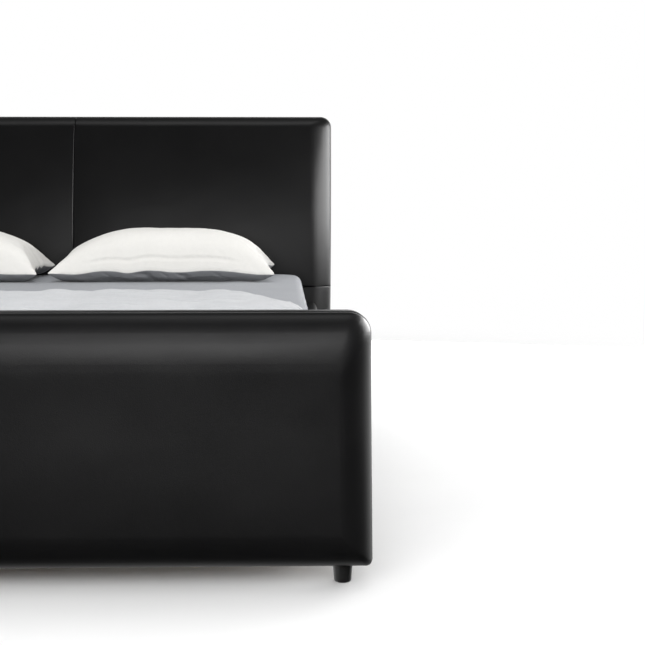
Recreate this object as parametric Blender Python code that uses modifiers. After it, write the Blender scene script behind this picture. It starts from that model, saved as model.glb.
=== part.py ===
# Upholstered sleigh bed, queen size, with its mattress and bedding.
# Metres, +Z up. +Y points to the headboard, +X to the right as seen from the foot end.
# The origin is on the floor, under the middle of the whole bed.

import math

import bmesh
import bpy
from mathutils import Vector

# Fits
GAP = 0.0003  # between pieces that touch
BOLT_PLAY = 0.0006  # between a bolt or stud and its hole, on the radius

# Mattress and bedding
MATTRESS_WIDTH = 1.52
MATTRESS_LENGTH = 2.03
MATTRESS_DEPTH = 0.238
MATTRESS_CORNER = 0.07
MATTRESS_EDGE = 0.025
END_PLAY = 0.012  # between the mattress and each board
SIDE_PLAY = 0.008  # between the mattress and each side rail
SHEET_THICKNESS = 0.0015
SHEET_HEM = 0.03  # how far the fitted sheet stops above the mattress's underside
QUILT_THICKNESS = 0.018
QUILT_SHORT_OF_HEAD = 0.93  # bare mattress between the quilt and the head end
QUILT_OVER_RAIL = 0.012  # between the quilt's hem and the rail under it
PILLOW_WIDTH = 0.715
PILLOW_DEPTH = 0.43
PILLOW_RISE = 0.133  # above its seam
PILLOW_BELLY = 0.034  # below its seam
PILLOW_SEAM_HALF = 0.004
PILLOW_PINCH = 0.07  # how far the sides pull in between the corners
PILLOW_SPACING = 0.015  # between the two pillows
PILLOWS_MIDDLE = -0.04

# Headboard and footboard
BOARD_OVERHANG = 0.0537  # how far the boards stand out past the side rails
UNDERSIDE = 0.043
RIM = 0.010  # padded leather round the frame's edges
FRAME_DEPTH = 0.036
PLY = 0.009
POST_WIDTH = 0.15
BOTTOM_CORNER = 0.012
ROLL_WALL = 0.008  # straight edge of a cushion before it rolls over
PIPING_RADIUS = 0.0035
PIPING_PROUD = 0.0015

HEAD_TOP = 1.0315
HEAD_CORNER = 0.035
HEAD_CUSHION = 0.060
HEAD_BACK = 0.008
SEAM_OVER_RAIL = 0.054  # from the rails' top to where the curved upper cushions meet the lower one
HEAD_REACH = 0.10  # how far the curve carries the top away from the mattress
HEAD_SPREAD = -0.008  # extra half width at the floor
HEAD_SIDE_ROLL = 0.075
HEAD_TOP_ROLL = 0.035
SEAM_ROLL = 0.006

FOOT_TOP = 0.5605
FOOT_CORNER = 0.045
FOOT_CUSHION = 0.070
FOOT_INNER = 0.012
FOOT_CURVE_START = 0.30
FOOT_REACH = 0.03
FOOT_SPREAD = 0.006
FOOT_SIDE_ROLL = 0.07
FOOT_TOP_ROLL = 0.105
FOOT_BOTTOM_ROLL = 0.075

HEAD_BOTTOM_RAIL = 0.10
HEAD_CROSS_RAIL = 0.10
FOOT_CROSS_RAIL = 0.08

# Side rails
RAIL_THICKNESS = 0.027
RAIL_PAD = 0.018
RAIL_BOTTOM = 0.10
RAIL_BELOW_MATTRESS = 0.0946  # from the mattress's top down to the rail's
RAIL_ROUND = 0.015
LEDGE = 0.03
LEDGE_TOP = 0.244

# Corner brackets and bolts
BRACKET_LEG = 0.06
BRACKET_ARM = 0.045
BRACKET_PLATE = 0.004
BRACKET_HEIGHT = 0.08
BRACKET_DROP = 0.009  # from the slat ledge down to the bracket
BOLT_RADIUS = 0.004
BOLT_HEAD_RADIUS = 0.007
BOLT_HEAD = 0.005
BOLT_INTO_POST = 0.028
BOLT_FROM_RAIL = 0.025

# Slats and centre support
SLATS = 11
SLAT_WIDTH = 0.09
SLAT_THICKNESS = 0.018
SLAT_PLAY = 0.003
SLAT_END = 0.07  # from the mattress's end to the middle of the last slat
BEAM_WIDTH = 0.04
BEAM_DEPTH = 0.054
HANGER_WIDTH = 0.07
HANGER_PLATE = 0.003
HANGER_SEAT = 0.05
CENTRE_LEG_RADIUS = 0.02
CENTRE_LEG_SPREAD = 0.5  # from the middle to each centre leg
CENTRE_LEG_LIFT = 0.02  # tube's end above the floor
LEVELLER_RADIUS = 0.019
LEVELLER_PAD = 0.008
LEVELLER_STEM_RADIUS = 0.005
LEVELLER_STEM = 0.05
LEVELLER_BORE = 0.055
STEM_PLAY = 0.0003

# Feet
FOOT_INSET = 0.053  # from a board's end to the middle of its foot
FOOT_TOP_RADIUS = 0.0205
FOOT_BOTTOM_RADIUS = 0.0175
FOOT_EDGE = 0.003
STUD_RADIUS = 0.004
STUD_INTO_POST = 0.025

# Fineness
CORNER_STEPS = 3
ROLL_STEPS = 3
HEAD_CURVE_STEPS = 5
FOOT_CURVE_STEPS = 3
TURN_STEPS = 16
PILLOW_CUTS = 5

FACE = MATTRESS_LENGTH / 2 + END_PLAY  # from the mattress's middle to each board
RAIL_INNER = MATTRESS_WIDTH / 2 + SIDE_PLAY
RAIL_OUTER = RAIL_INNER + RAIL_THICKNESS + GAP + RAIL_PAD
SLAT_BOTTOM = LEDGE_TOP + GAP
MATTRESS_BOTTOM = SLAT_BOTTOM + SLAT_THICKNESS + GAP
MATTRESS_TOP = MATTRESS_BOTTOM + MATTRESS_DEPTH
RAIL_TOP = MATTRESS_TOP - RAIL_BELOW_MATTRESS
HEAD_SEAM = RAIL_TOP + SEAM_OVER_RAIL
BRACKET_BOTTOM = LEDGE_TOP - LEDGE - BRACKET_DROP - BRACKET_HEIGHT
SHEET_TOP = MATTRESS_TOP + GAP + SHEET_THICKNESS
SHEET_HALF = MATTRESS_WIDTH / 2 + GAP + SHEET_THICKNESS
BOARD_HALF = RAIL_OUTER + BOARD_OVERHANG
FOOT_X = BOARD_HALF - FOOT_INSET
CORE_INSET = RIM + GAP
CORE_HALF = BOARD_HALF - CORE_INSET
CORE_BOTTOM = UNDERSIDE + CORE_INSET
GROOVE = 2 * PIPING_RADIUS + 2 * GAP


# A board: depths count outwards from its mattress side, and its curve leans that way too.
class Board:
    def __init__(self, name, side, top, corner, cushion, cover, start, reach, spread, steps):
        self.name = name
        self.side = side
        self.top = top
        self.corner = corner
        self.spread = spread
        core = PLY + GAP + FRAME_DEPTH
        if side > 0:  # the cushion faces the mattress
            self.cushion_back, self.cushion_front = cushion, 0.0
            self.ply = (cushion + GAP, cushion + GAP + PLY)
            self.frame = (self.ply[1] + GAP, self.ply[1] + GAP + FRAME_DEPTH)
            self.cover_face = self.frame[1] + GAP + cover
            self.cover_floor = self.frame[1] + GAP
            self.cover_rim = cushion + GROOVE
            self.piping = cushion + GROOVE / 2
        else:  # the cushion faces outwards
            self.cushion_back = cover + GAP + core + GAP
            self.cushion_front = self.cushion_back + cushion
            self.frame = (cover + GAP, cover + GAP + FRAME_DEPTH)
            self.ply = (self.frame[1] + GAP, self.frame[1] + GAP + PLY)
            self.cover_face = 0.0
            self.cover_floor = cover
            self.cover_rim = self.cushion_back - GROOVE
            self.piping = self.cushion_back - GROOVE / 2
        rise = top - start
        radius = (rise**2 + reach**2) / (2 * reach)
        self.heights = [start + rise * i / steps for i in range(steps + 1)]
        self.leans = [radius - math.sqrt(radius**2 - (h - start) ** 2) for h in self.heights]

    def lean(self, z):
        """How far the board leans at a height, in straight lines between the curve's heights."""
        if z <= self.heights[0]:
            return 0.0
        last = len(self.heights) - 2
        i = min(sum(h <= z for h in self.heights) - 1, last)
        share = (z - self.heights[i]) / (self.heights[i + 1] - self.heights[i])
        return self.leans[i] + share * (self.leans[i + 1] - self.leans[i])

    def place(self, x, depth, z):
        wider = 1 + self.spread / BOARD_HALF * (self.top - z) / self.top
        return Vector((x * wider, self.side * (FACE + depth + self.lean(z)), z))

    def curved(self, bm):
        """Carries a mesh of (x, depth, z) points onto the curved board."""
        for height in self.heights[:-1]:
            bmesh.ops.bisect_plane(
                bm, geom=bm.verts[:] + bm.edges[:] + bm.faces[:], plane_co=(0, 0, height), plane_no=(0, 0, 1)
            )
        for vert in bm.verts:
            vert.co = self.place(*vert.co)
        face_outwards(bm)


HEAD = Board(
    "headboard", 1, HEAD_TOP, HEAD_CORNER, HEAD_CUSHION, HEAD_BACK,
    HEAD_SEAM, HEAD_REACH, HEAD_SPREAD, HEAD_CURVE_STEPS,
)
FOOT = Board(
    "footboard", -1, FOOT_TOP, FOOT_CORNER, FOOT_CUSHION, FOOT_INNER,
    FOOT_CURVE_START, FOOT_REACH, FOOT_SPREAD, FOOT_CURVE_STEPS,
)


def face_outwards(bm):
    bmesh.ops.recalc_face_normals(bm, faces=bm.faces[:])
    if bm.calc_volume(signed=True) < 0:
        bmesh.ops.reverse_faces(bm, faces=bm.faces[:])


def clear_scene():
    for obj in list(bpy.data.objects):
        bpy.data.objects.remove(obj, do_unlink=True)


def make_collection(name):
    made = bpy.data.collections.new(name)
    bpy.context.scene.collection.children.link(made)
    return made


def make_material(name, color, roughness, metallic=0.0):
    made = bpy.data.materials.new(name)
    made.use_nodes = True
    shader = made.node_tree.nodes["Principled BSDF"]
    shader.inputs["Base Color"].default_value = (*color, 1)
    shader.inputs["Roughness"].default_value = roughness
    shader.inputs["Metallic"].default_value = metallic
    made.diffuse_color = (*color, 1)
    return made


clear_scene()
PARTS = make_collection("sleigh_bed")
CUTTERS = make_collection("cutters")
BED = bpy.data.objects.new("bed_middle", None)
PARTS.objects.link(BED)

LEATHER = make_material("black_leather", (0.012, 0.012, 0.013), 0.42)
TIMBER = make_material("pine", (0.55, 0.38, 0.22), 0.6)
PLYWOOD = make_material("plywood", (0.62, 0.46, 0.29), 0.65)
STEEL = make_material("black_steel", (0.03, 0.03, 0.032), 0.45, 0.9)
ZINC = make_material("zinc_steel", (0.55, 0.56, 0.57), 0.35, 1.0)
BLACK_WOOD = make_material("black_lacquer", (0.015, 0.015, 0.016), 0.35)
RUBBER = make_material("rubber", (0.03, 0.03, 0.03), 0.8)
TICKING = make_material("mattress_ticking", (0.85, 0.84, 0.82), 0.9)
GREY_COTTON = make_material("grey_cotton", (0.36, 0.37, 0.40), 0.9)
WHITE_COTTON = make_material("white_cotton", (0.86, 0.85, 0.83), 0.9)


def add_mesh(name, bm, material, collection=None):
    mesh = bpy.data.meshes.new(name)
    bm.to_mesh(mesh)
    bm.free()
    obj = bpy.data.objects.new(name, mesh)
    (collection or PARTS).objects.link(obj)
    obj.parent = BED
    if material:
        mesh.materials.append(material)
    return obj


def cube_between(low, high, centred):
    bm = bmesh.new()
    bmesh.ops.create_cube(bm, size=1)
    bmesh.ops.scale(bm, vec=[b - a for a, b in zip(low, high)], verts=bm.verts)
    if not centred:
        bmesh.ops.translate(bm, vec=[(a + b) / 2 for a, b in zip(low, high)], verts=bm.verts)
    return bm


def add_box(name, low, high, material, edge=0.0):
    obj = add_mesh(name, cube_between(low, high, centred=True), material)
    obj.location = [(a + b) / 2 for a, b in zip(low, high)]
    if edge:
        bevel = obj.modifiers.new("edges", "BEVEL")
        bevel.width = edge
        bevel.segments = 1
    return obj


def add_board_box(name, board, x, depth, z, material, rounded=()):
    """A straight member of a board's frame. rounded lists (x, z, radius) of corners to take off."""
    bm = cube_between((x[0], depth[0], z[0]), (x[1], depth[1], z[1]), centred=False)
    for corner_x, corner_z, radius in rounded:
        def on_corner(vert):
            return abs(vert.co.x - corner_x) < 1e-6 and abs(vert.co.z - corner_z) < 1e-6

        edge = [e for e in bm.edges if all(on_corner(vert) for vert in e.verts)]
        bmesh.ops.bevel(bm, geom=edge, offset=radius, segments=CORNER_STEPS, profile=0.5, affect="EDGES")
    board.curved(bm)
    return add_mesh(name, bm, material)


def rounded_outline(low_x, high_x, low_z, high_z, radii):
    """Points round a rectangle, with a radius for its lower left, lower right, upper right and upper left."""
    corners = (
        (low_x, low_z, 1, 1, 180),
        (high_x, low_z, -1, 1, 270),
        (high_x, high_z, -1, -1, 0),
        (low_x, high_z, 1, -1, 90),
    )
    points = []
    for (x, z, inward_x, inward_z, start), radius in zip(corners, radii):
        for i in range(CORNER_STEPS + 1):
            angle = math.radians(start + 90 * i / CORNER_STEPS)
            points.append(
                (x + radius * (inward_x + math.cos(angle)), z + radius * (inward_z + math.sin(angle)))
            )
    return points


def loft(rings, cap_first=True, cap_last=True):
    """A skin over rings of as many points each, with the end rings filled in."""
    bm = bmesh.new()
    made = [[bm.verts.new(point) for point in ring] for ring in rings]
    for near, far in zip(made, made[1:]):
        for i in range(len(near)):
            j = (i + 1) % len(near)
            bm.faces.new((near[i], near[j], far[j], far[i]))
    if cap_first:
        bm.faces.new(made[0])
    if cap_last:
        bm.faces.new(made[-1])
    face_outwards(bm)
    return bm


def add_cushion(name, board, x, z, rolls, radii):
    """A pad whose free face rolls over by rolls = (left, right, bottom, top) into its straight edge."""
    left, right, bottom, top = rolls
    direction = 1 if board.cushion_front > board.cushion_back else -1
    thickness = abs(board.cushion_front - board.cushion_back)
    steps = [(0.0, 0.0)]
    for i in range(ROLL_STEPS + 1):
        angle = math.pi / 2 * i / ROLL_STEPS
        steps.append((1 - math.cos(angle), ROLL_WALL + (thickness - ROLL_WALL) * math.sin(angle)))
    rings = []
    for inward, depth in steps:
        outline = rounded_outline(
            x[0] + left * inward,
            x[1] - right * inward,
            z[0] + bottom * inward,
            z[1] - top * inward,
            [radius * (1 - inward * 0.8) for radius in radii],
        )
        rings.append([(px, board.cushion_back + direction * depth, pz) for px, pz in outline])
    bm = loft(rings)
    board.curved(bm)
    return add_mesh(name, bm, LEATHER)


def add_cover(name, board):
    """The leather over a board's other face and round the frame's edges, as a shallow tray."""
    outer = rounded_outline(
        -BOARD_HALF, BOARD_HALF, UNDERSIDE, board.top,
        [BOTTOM_CORNER, BOTTOM_CORNER, board.corner, board.corner],
    )
    inner_corner = max(board.corner - RIM, GAP * 4)
    low_corner = max(BOTTOM_CORNER - RIM, GAP * 4)
    inner = rounded_outline(
        -BOARD_HALF + RIM, BOARD_HALF - RIM, UNDERSIDE + RIM, board.top - RIM,
        [low_corner, low_corner, inner_corner, inner_corner],
    )
    rings = [
        [(x, board.cover_face, z) for x, z in outer],
        [(x, board.cover_rim, z) for x, z in outer],
        [(x, board.cover_rim, z) for x, z in inner],
        [(x, board.cover_floor, z) for x, z in inner],
    ]
    bm = loft(rings)
    board.curved(bm)
    return add_mesh(name, bm, LEATHER)


def add_ply(name, board):
    corner = board.corner + RIM
    outline = rounded_outline(
        -CORE_HALF, CORE_HALF, CORE_BOTTOM, board.top - CORE_INSET,
        [BOTTOM_CORNER, BOTTOM_CORNER, corner, corner],
    )
    bm = loft([[(x, depth, z) for x, z in outline] for depth in board.ply])
    board.curved(bm)
    return add_mesh(name, bm, PLYWOOD)


def add_piping(name, board):
    """The piping cord in the groove between the cushion and the edge cover, once round the board."""
    inset = PIPING_RADIUS - PIPING_PROUD
    outline = rounded_outline(
        -BOARD_HALF + inset, BOARD_HALF - inset, UNDERSIDE + inset, board.top - inset,
        [BOTTOM_CORNER - inset, BOTTOM_CORNER - inset, board.corner - inset, board.corner - inset],
    )
    points = []
    for (x, z), (next_x, next_z) in zip(outline, outline[1:] + outline[:1]):
        points.append((x, z))
        between = [h for h in board.heights if min(z, next_z) < h < max(z, next_z)]
        for height in sorted(between, reverse=next_z < z):
            share = (height - z) / (next_z - z)
            points.append((x + share * (next_x - x), height))
    curve = bpy.data.curves.new(name, "CURVE")
    curve.dimensions = "3D"
    curve.bevel_depth = PIPING_RADIUS
    curve.bevel_resolution = 1
    curve.use_fill_caps = True
    spline = curve.splines.new("POLY")
    spline.points.add(len(points) - 1)
    for point, (x, z) in zip(spline.points, points):
        point.co = (*board.place(x, board.piping, z), 1)
    spline.use_cyclic_u = True
    curve.materials.append(LEATHER)
    obj = bpy.data.objects.new(name, curve)
    PARTS.objects.link(obj)
    obj.parent = BED
    return obj


def add_turned(name, profile, material, location, turn_x=0.0):
    """A turned piece. Its profile of (radius, height) runs down its outer side, from axis to axis."""
    bm = bmesh.new()
    verts = [bm.verts.new((radius, 0, height)) for radius, height in profile]
    for a, b in zip(verts, verts[1:]):
        bm.edges.new((a, b))
    obj = add_mesh(name, bm, material)
    obj.location = location
    obj.rotation_euler.x = turn_x
    screw = obj.modifiers.new("turn", "SCREW")
    screw.axis = "Z"
    screw.steps = TURN_STEPS
    screw.render_steps = TURN_STEPS
    screw.use_merge_vertices = True
    screw.merge_threshold = 0.00005
    return obj


def add_outline(name, points, along, extent, material):
    """A flat outline given a length along one axis. Its points are in the other two axes, in order."""
    curve = bpy.data.curves.new(name, "CURVE")
    curve.dimensions = "2D"
    curve.fill_mode = "BOTH"
    curve.extrude = (extent[1] - extent[0]) / 2
    spline = curve.splines.new("POLY")
    spline.points.add(len(points) - 1)
    for point, (a, b) in zip(spline.points, points):
        point.co = (a, b, 0, 1)
    spline.use_cyclic_u = True
    drawn = bpy.data.objects.new(name + "_outline", curve)
    PARTS.objects.link(drawn)
    bpy.context.view_layer.update()
    mesh = bpy.data.meshes.new_from_object(drawn.evaluated_get(bpy.context.evaluated_depsgraph_get()))
    bpy.data.objects.remove(drawn, do_unlink=True)
    bm = bmesh.new()
    bm.from_mesh(mesh)
    bpy.data.meshes.remove(mesh)
    bmesh.ops.remove_doubles(bm, verts=bm.verts[:], dist=0.00001)
    middle = (extent[0] + extent[1]) / 2
    for vert in bm.verts:
        a, b, c = vert.co
        vert.co = {"X": (c + middle, a, b), "Y": (a, c + middle, b), "Z": (a, b, c + middle)}[along]
    face_outwards(bm)
    return add_mesh(name, bm, material)


def add_cutter(name, radius, start, end):
    """A round cutter from one point to another, along Y or Z."""
    start, end = Vector(start), Vector(end)
    bm = bmesh.new()
    bmesh.ops.create_cone(
        bm, cap_ends=True, segments=TURN_STEPS, radius1=radius, radius2=radius, depth=(end - start).length
    )
    obj = add_mesh(name, bm, None, CUTTERS)
    obj.location = (start + end) / 2
    obj.rotation_euler = (end - start).to_track_quat("Z", "Y").to_euler()
    obj.hide_render = True
    obj.display_type = "WIRE"
    return obj


def cut(obj, cutter):
    boolean = obj.modifiers.new(cutter.name, "BOOLEAN")
    boolean.operation = "DIFFERENCE"
    boolean.solver = "EXACT"
    boolean.object = cutter


def build_frame(board, cross_rails):
    """A board's posts, cross rails, ply, edge cover and piping. cross_rails lists (name, low, high)."""
    name = board.name
    top = board.top - CORE_INSET
    made = {}
    for side, word in ((-1, "left"), (1, "right")):
        x = sorted((side * CORE_HALF, side * (CORE_HALF - POST_WIDTH)))
        outer = side * CORE_HALF
        made[word] = add_board_box(
            f"{name}_post_{word}", board, x, board.frame, (CORE_BOTTOM, top), TIMBER,
            rounded=((outer, CORE_BOTTOM, BOTTOM_CORNER), (outer, top, board.corner + RIM)),
        )
    rail_half = CORE_HALF - POST_WIDTH - GAP
    for rail, low, high in cross_rails:
        add_board_box(f"{name}_{rail}", board, (-rail_half, rail_half), board.frame, (low, high), TIMBER)
    made["ply"] = add_ply(f"{name}_ply_panel", board)
    made["cover"] = add_cover(f"{name}_{'back' if board.side > 0 else 'inner'}_cover", board)
    add_piping(f"{name}_piping", board)
    return made


def build_headboard():
    made = build_frame(
        HEAD,
        (
            ("bottom_rail", CORE_BOTTOM, CORE_BOTTOM + HEAD_BOTTOM_RAIL),
            ("seam_rail", HEAD_SEAM - HEAD_CROSS_RAIL / 2, HEAD_SEAM + HEAD_CROSS_RAIL / 2),
            ("top_rail", HEAD.top - CORE_INSET - HEAD_CROSS_RAIL, HEAD.top - CORE_INSET),
        ),
    )
    seam = GAP / 2
    small = SEAM_ROLL
    upper = (HEAD_SEAM + seam, HEAD.top)
    add_cushion(
        "headboard_cushion_left", HEAD, (-BOARD_HALF, -seam), upper,
        (HEAD_SIDE_ROLL, SEAM_ROLL, SEAM_ROLL, HEAD_TOP_ROLL), (small, small, small, HEAD_CORNER),
    )
    add_cushion(
        "headboard_cushion_right", HEAD, (seam, BOARD_HALF), upper,
        (SEAM_ROLL, HEAD_SIDE_ROLL, SEAM_ROLL, HEAD_TOP_ROLL), (small, small, HEAD_CORNER, small),
    )
    made["lower"] = add_cushion(
        "headboard_lower_cushion", HEAD, (-BOARD_HALF, BOARD_HALF), (UNDERSIDE, HEAD_SEAM - seam),
        (HEAD_SIDE_ROLL, HEAD_SIDE_ROLL, SEAM_ROLL, SEAM_ROLL), (BOTTOM_CORNER, BOTTOM_CORNER, small, small),
    )
    return made


def build_footboard():
    made = build_frame(
        FOOT,
        (
            ("bottom_rail", CORE_BOTTOM, CORE_BOTTOM + FOOT_CROSS_RAIL),
            ("top_rail", FOOT.top - CORE_INSET - FOOT_CROSS_RAIL, FOOT.top - CORE_INSET),
        ),
    )
    add_cushion(
        "footboard_cushion", FOOT, (-BOARD_HALF, BOARD_HALF), (UNDERSIDE, FOOT.top),
        (FOOT_SIDE_ROLL, FOOT_SIDE_ROLL, FOOT_BOTTOM_ROLL, FOOT_TOP_ROLL),
        (BOTTOM_CORNER, BOTTOM_CORNER, FOOT_CORNER, FOOT_CORNER),
    )
    return made


def build_feet(board, pieces):
    """A turned foot under each end of a board, with a stud up into the post."""
    top = UNDERSIDE - GAP
    stud_top = CORE_BOTTOM + STUD_INTO_POST
    profile = (
        (0, stud_top), (STUD_RADIUS, stud_top), (STUD_RADIUS, top), (FOOT_TOP_RADIUS, top),
        (FOOT_BOTTOM_RADIUS, FOOT_EDGE), (FOOT_BOTTOM_RADIUS - FOOT_EDGE, 0), (0, 0),
    )
    y = board.side * (FACE + sum(board.frame) / 2)
    for side, word in ((-1, "left"), (1, "right")):
        x = side * FOOT_X
        add_turned(f"{board.name}_foot_{word}", profile, BLACK_WOOD, (x, y, 0))
        hole = add_cutter(
            f"{board.name}_stud_hole_{word}", STUD_RADIUS + BOLT_PLAY,
            (x, y, UNDERSIDE / 2), (x, y, stud_top + 0.002),
        )
        cut(pieces["cover"], hole)
        cut(pieces[word], hole)


def build_side(side, word, boards):
    """One side rail with its pad, slat ledge, end brackets and bolts."""
    def across(inner, outer):
        return sorted((side * inner, side * outer))

    half = FACE - GAP
    core_x = across(RAIL_INNER, RAIL_INNER + RAIL_THICKNESS)
    core_top = RAIL_TOP - RAIL_PAD - GAP
    core = cube_between((core_x[0], -half, RAIL_BOTTOM), (core_x[1], half, core_top), centred=False)
    add_foot_fitted(f"rail_core_{word}", core, half, TIMBER)
    build_rail_cover(side, word, half, core_top)
    ledge_x = across(RAIL_INNER - GAP - LEDGE, RAIL_INNER - GAP)
    add_box(
        f"slat_ledge_{word}", (ledge_x[0], -half, LEDGE_TOP - LEDGE), (ledge_x[1], half, LEDGE_TOP), TIMBER
    )
    for board, pieces in boards:
        build_corner(side, word, board, pieces)


def add_foot_fitted(name, bm, half, material):
    """A rail piece whose foot end follows the footboard's curve."""
    for height in FOOT.heights[:-1]:
        bmesh.ops.bisect_plane(
            bm, geom=bm.verts[:] + bm.edges[:] + bm.faces[:], plane_co=(0, 0, height), plane_no=(0, 0, 1)
        )
    for vert in bm.verts:
        if vert.co.y < GAP - half:
            vert.co.y -= FOOT.lean(vert.co.z)
    return add_mesh(name, bm, material)


def build_rail_cover(side, word, half, core_top):
    """The rail's leather pad, down its outer side and over its top, as an upside-down J."""
    inner, outer = RAIL_INNER, RAIL_OUTER
    step = inner + RAIL_THICKNESS + GAP
    points = [(step, RAIL_BOTTOM), (outer, RAIL_BOTTOM)]
    for i in range(CORNER_STEPS + 1):
        angle = math.pi / 2 * i / CORNER_STEPS
        points.append(
            (outer - RAIL_ROUND * (1 - math.cos(angle)), RAIL_TOP - RAIL_ROUND * (1 - math.sin(angle)))
        )
    points += [(inner + RAIL_ROUND / 3, RAIL_TOP), (inner, RAIL_TOP - RAIL_ROUND / 3)]
    points += [(inner, core_top + GAP), (step, core_top + GAP)]
    rings = [[(side * x, y, z) for x, z in points] for y in (-half, half)]
    add_foot_fitted(f"rail_cover_{word}", loft(rings), half, LEATHER)


def build_corner(side, word, board, pieces):
    """The steel angle that joins a rail to a board, and its bolt."""
    end = "head" if board.side > 0 else "foot"
    face = board.side * (FACE - GAP)
    inner = side * (RAIL_INNER - GAP)
    arm = inner - side * BRACKET_ARM
    leg = face - board.side * BRACKET_LEG
    plate_x = inner - side * BRACKET_PLATE
    plate_y = face - board.side * BRACKET_PLATE
    outline = ((inner, face), (inner, leg), (plate_x, leg), (plate_x, plate_y), (arm, plate_y), (arm, face))
    bottom = BRACKET_BOTTOM
    top = bottom + BRACKET_HEIGHT
    bracket = add_outline(f"corner_bracket_{end}_{word}", outline, "Z", (bottom, top), STEEL)
    x = inner - side * BOLT_FROM_RAIL
    z = bottom + BRACKET_HEIGHT / 2
    head_y = plate_y - board.side * GAP
    tip = board.frame[0] + BOLT_INTO_POST
    shank = abs(board.side * (FACE + tip) - head_y)
    profile = (
        (0, BOLT_HEAD), (BOLT_HEAD_RADIUS, BOLT_HEAD), (BOLT_HEAD_RADIUS, 0),
        (BOLT_RADIUS, 0), (BOLT_RADIUS, -shank), (0, -shank),
    )
    add_turned(f"bolt_{end}_{word}", profile, ZINC, (x, head_y, z), turn_x=board.side * math.pi / 2)
    hole = add_cutter(
        f"bolt_hole_{end}_{word}", BOLT_RADIUS + BOLT_PLAY,
        (x, head_y - board.side * GAP, z), (x, board.side * (FACE + tip + 0.002), z),
    )
    through = [bracket, pieces[word]]
    through += [pieces["lower"], pieces["ply"]] if board.side > 0 else [pieces["cover"]]
    for piece in through:
        cut(piece, hole)


def build_base():
    """Slats, the centre beam on its hangers, and the centre legs with their levelling feet."""
    reach = MATTRESS_LENGTH / 2 - SLAT_END
    half = RAIL_INNER - SLAT_PLAY
    for i in range(SLATS):
        y = -reach + 2 * reach * i / (SLATS - 1)
        add_box(
            f"slat_{i + 1:02d}", (-half, y - SLAT_WIDTH / 2, SLAT_BOTTOM),
            (half, y + SLAT_WIDTH / 2, SLAT_BOTTOM + SLAT_THICKNESS), TIMBER, edge=0.003,
        )
    beam_half = FACE - 2 * GAP - HANGER_PLATE
    beam_bottom = LEDGE_TOP - BEAM_DEPTH
    add_box(
        "centre_beam", (-BEAM_WIDTH / 2, -beam_half, beam_bottom),
        (BEAM_WIDTH / 2, beam_half, LEDGE_TOP), TIMBER,
    )
    seat_top = beam_bottom - GAP
    for side, end in ((1, "head"), (-1, "foot")):
        face = side * (FACE - GAP)
        plate = face - side * HANGER_PLATE
        seat = face - side * HANGER_SEAT
        low = seat_top - HANGER_PLATE
        outline = (
            (face, LEDGE_TOP), (face, low), (seat, low),
            (seat, seat_top), (plate, seat_top), (plate, LEDGE_TOP),
        )
        add_outline(f"beam_hanger_{end}", outline, "X", (-HANGER_WIDTH / 2, HANGER_WIDTH / 2), STEEL)
    top = beam_bottom - GAP
    low = CENTRE_LEG_LIFT
    bore = LEVELLER_STEM_RADIUS + STEM_PLAY
    leg = (
        (0, top), (CENTRE_LEG_RADIUS, top), (CENTRE_LEG_RADIUS, low),
        (bore, low), (bore, low + LEVELLER_BORE), (0, low + LEVELLER_BORE),
    )
    stem_top = LEVELLER_PAD + LEVELLER_STEM
    stem = LEVELLER_STEM_RADIUS
    leveller = (
        (0, stem_top), (stem, stem_top), (stem, LEVELLER_PAD),
        (LEVELLER_RADIUS, LEVELLER_PAD), (LEVELLER_RADIUS, 0), (0, 0),
    )
    for side, end in ((1, "head"), (-1, "foot")):
        place = (0, side * CENTRE_LEG_SPREAD, 0)
        add_turned(f"centre_leg_{end}", leg, STEEL, place)
        add_turned(f"levelling_foot_{end}", leveller, RUBBER, place)


def mattress_rings(grow, bottom, round_bottom):
    """Rings up the mattress's outside, grown on every side by grow, from a height above its underside."""
    half_x, half_y = MATTRESS_WIDTH / 2 + grow, MATTRESS_LENGTH / 2 + grow
    edge = MATTRESS_EDGE + grow
    top = MATTRESS_TOP + grow
    steps = []
    for i in range(ROLL_STEPS + 1):
        angle = math.pi / 2 * i / ROLL_STEPS
        steps.append((edge * (1 - math.cos(angle)), edge * (1 - math.sin(angle))))
    rings = [(inset, bottom + rise) for inset, rise in reversed(steps)] if round_bottom else [(0.0, bottom)]
    rings += [(inset, top - drop) for inset, drop in steps]
    made = []
    for inset, z in rings:
        corner = [MATTRESS_CORNER + grow - inset] * 4
        outline = rounded_outline(-half_x + inset, half_x - inset, -half_y + inset, half_y - inset, corner)
        made.append([(x, y, z) for x, y in outline])
    return made


def add_wall(obj, thickness):
    """Gives an open surface its thickness, outwards."""
    solidify = obj.modifiers.new("thickness", "SOLIDIFY")
    solidify.thickness = thickness
    solidify.offset = 1
    solidify.use_even_offset = True


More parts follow.
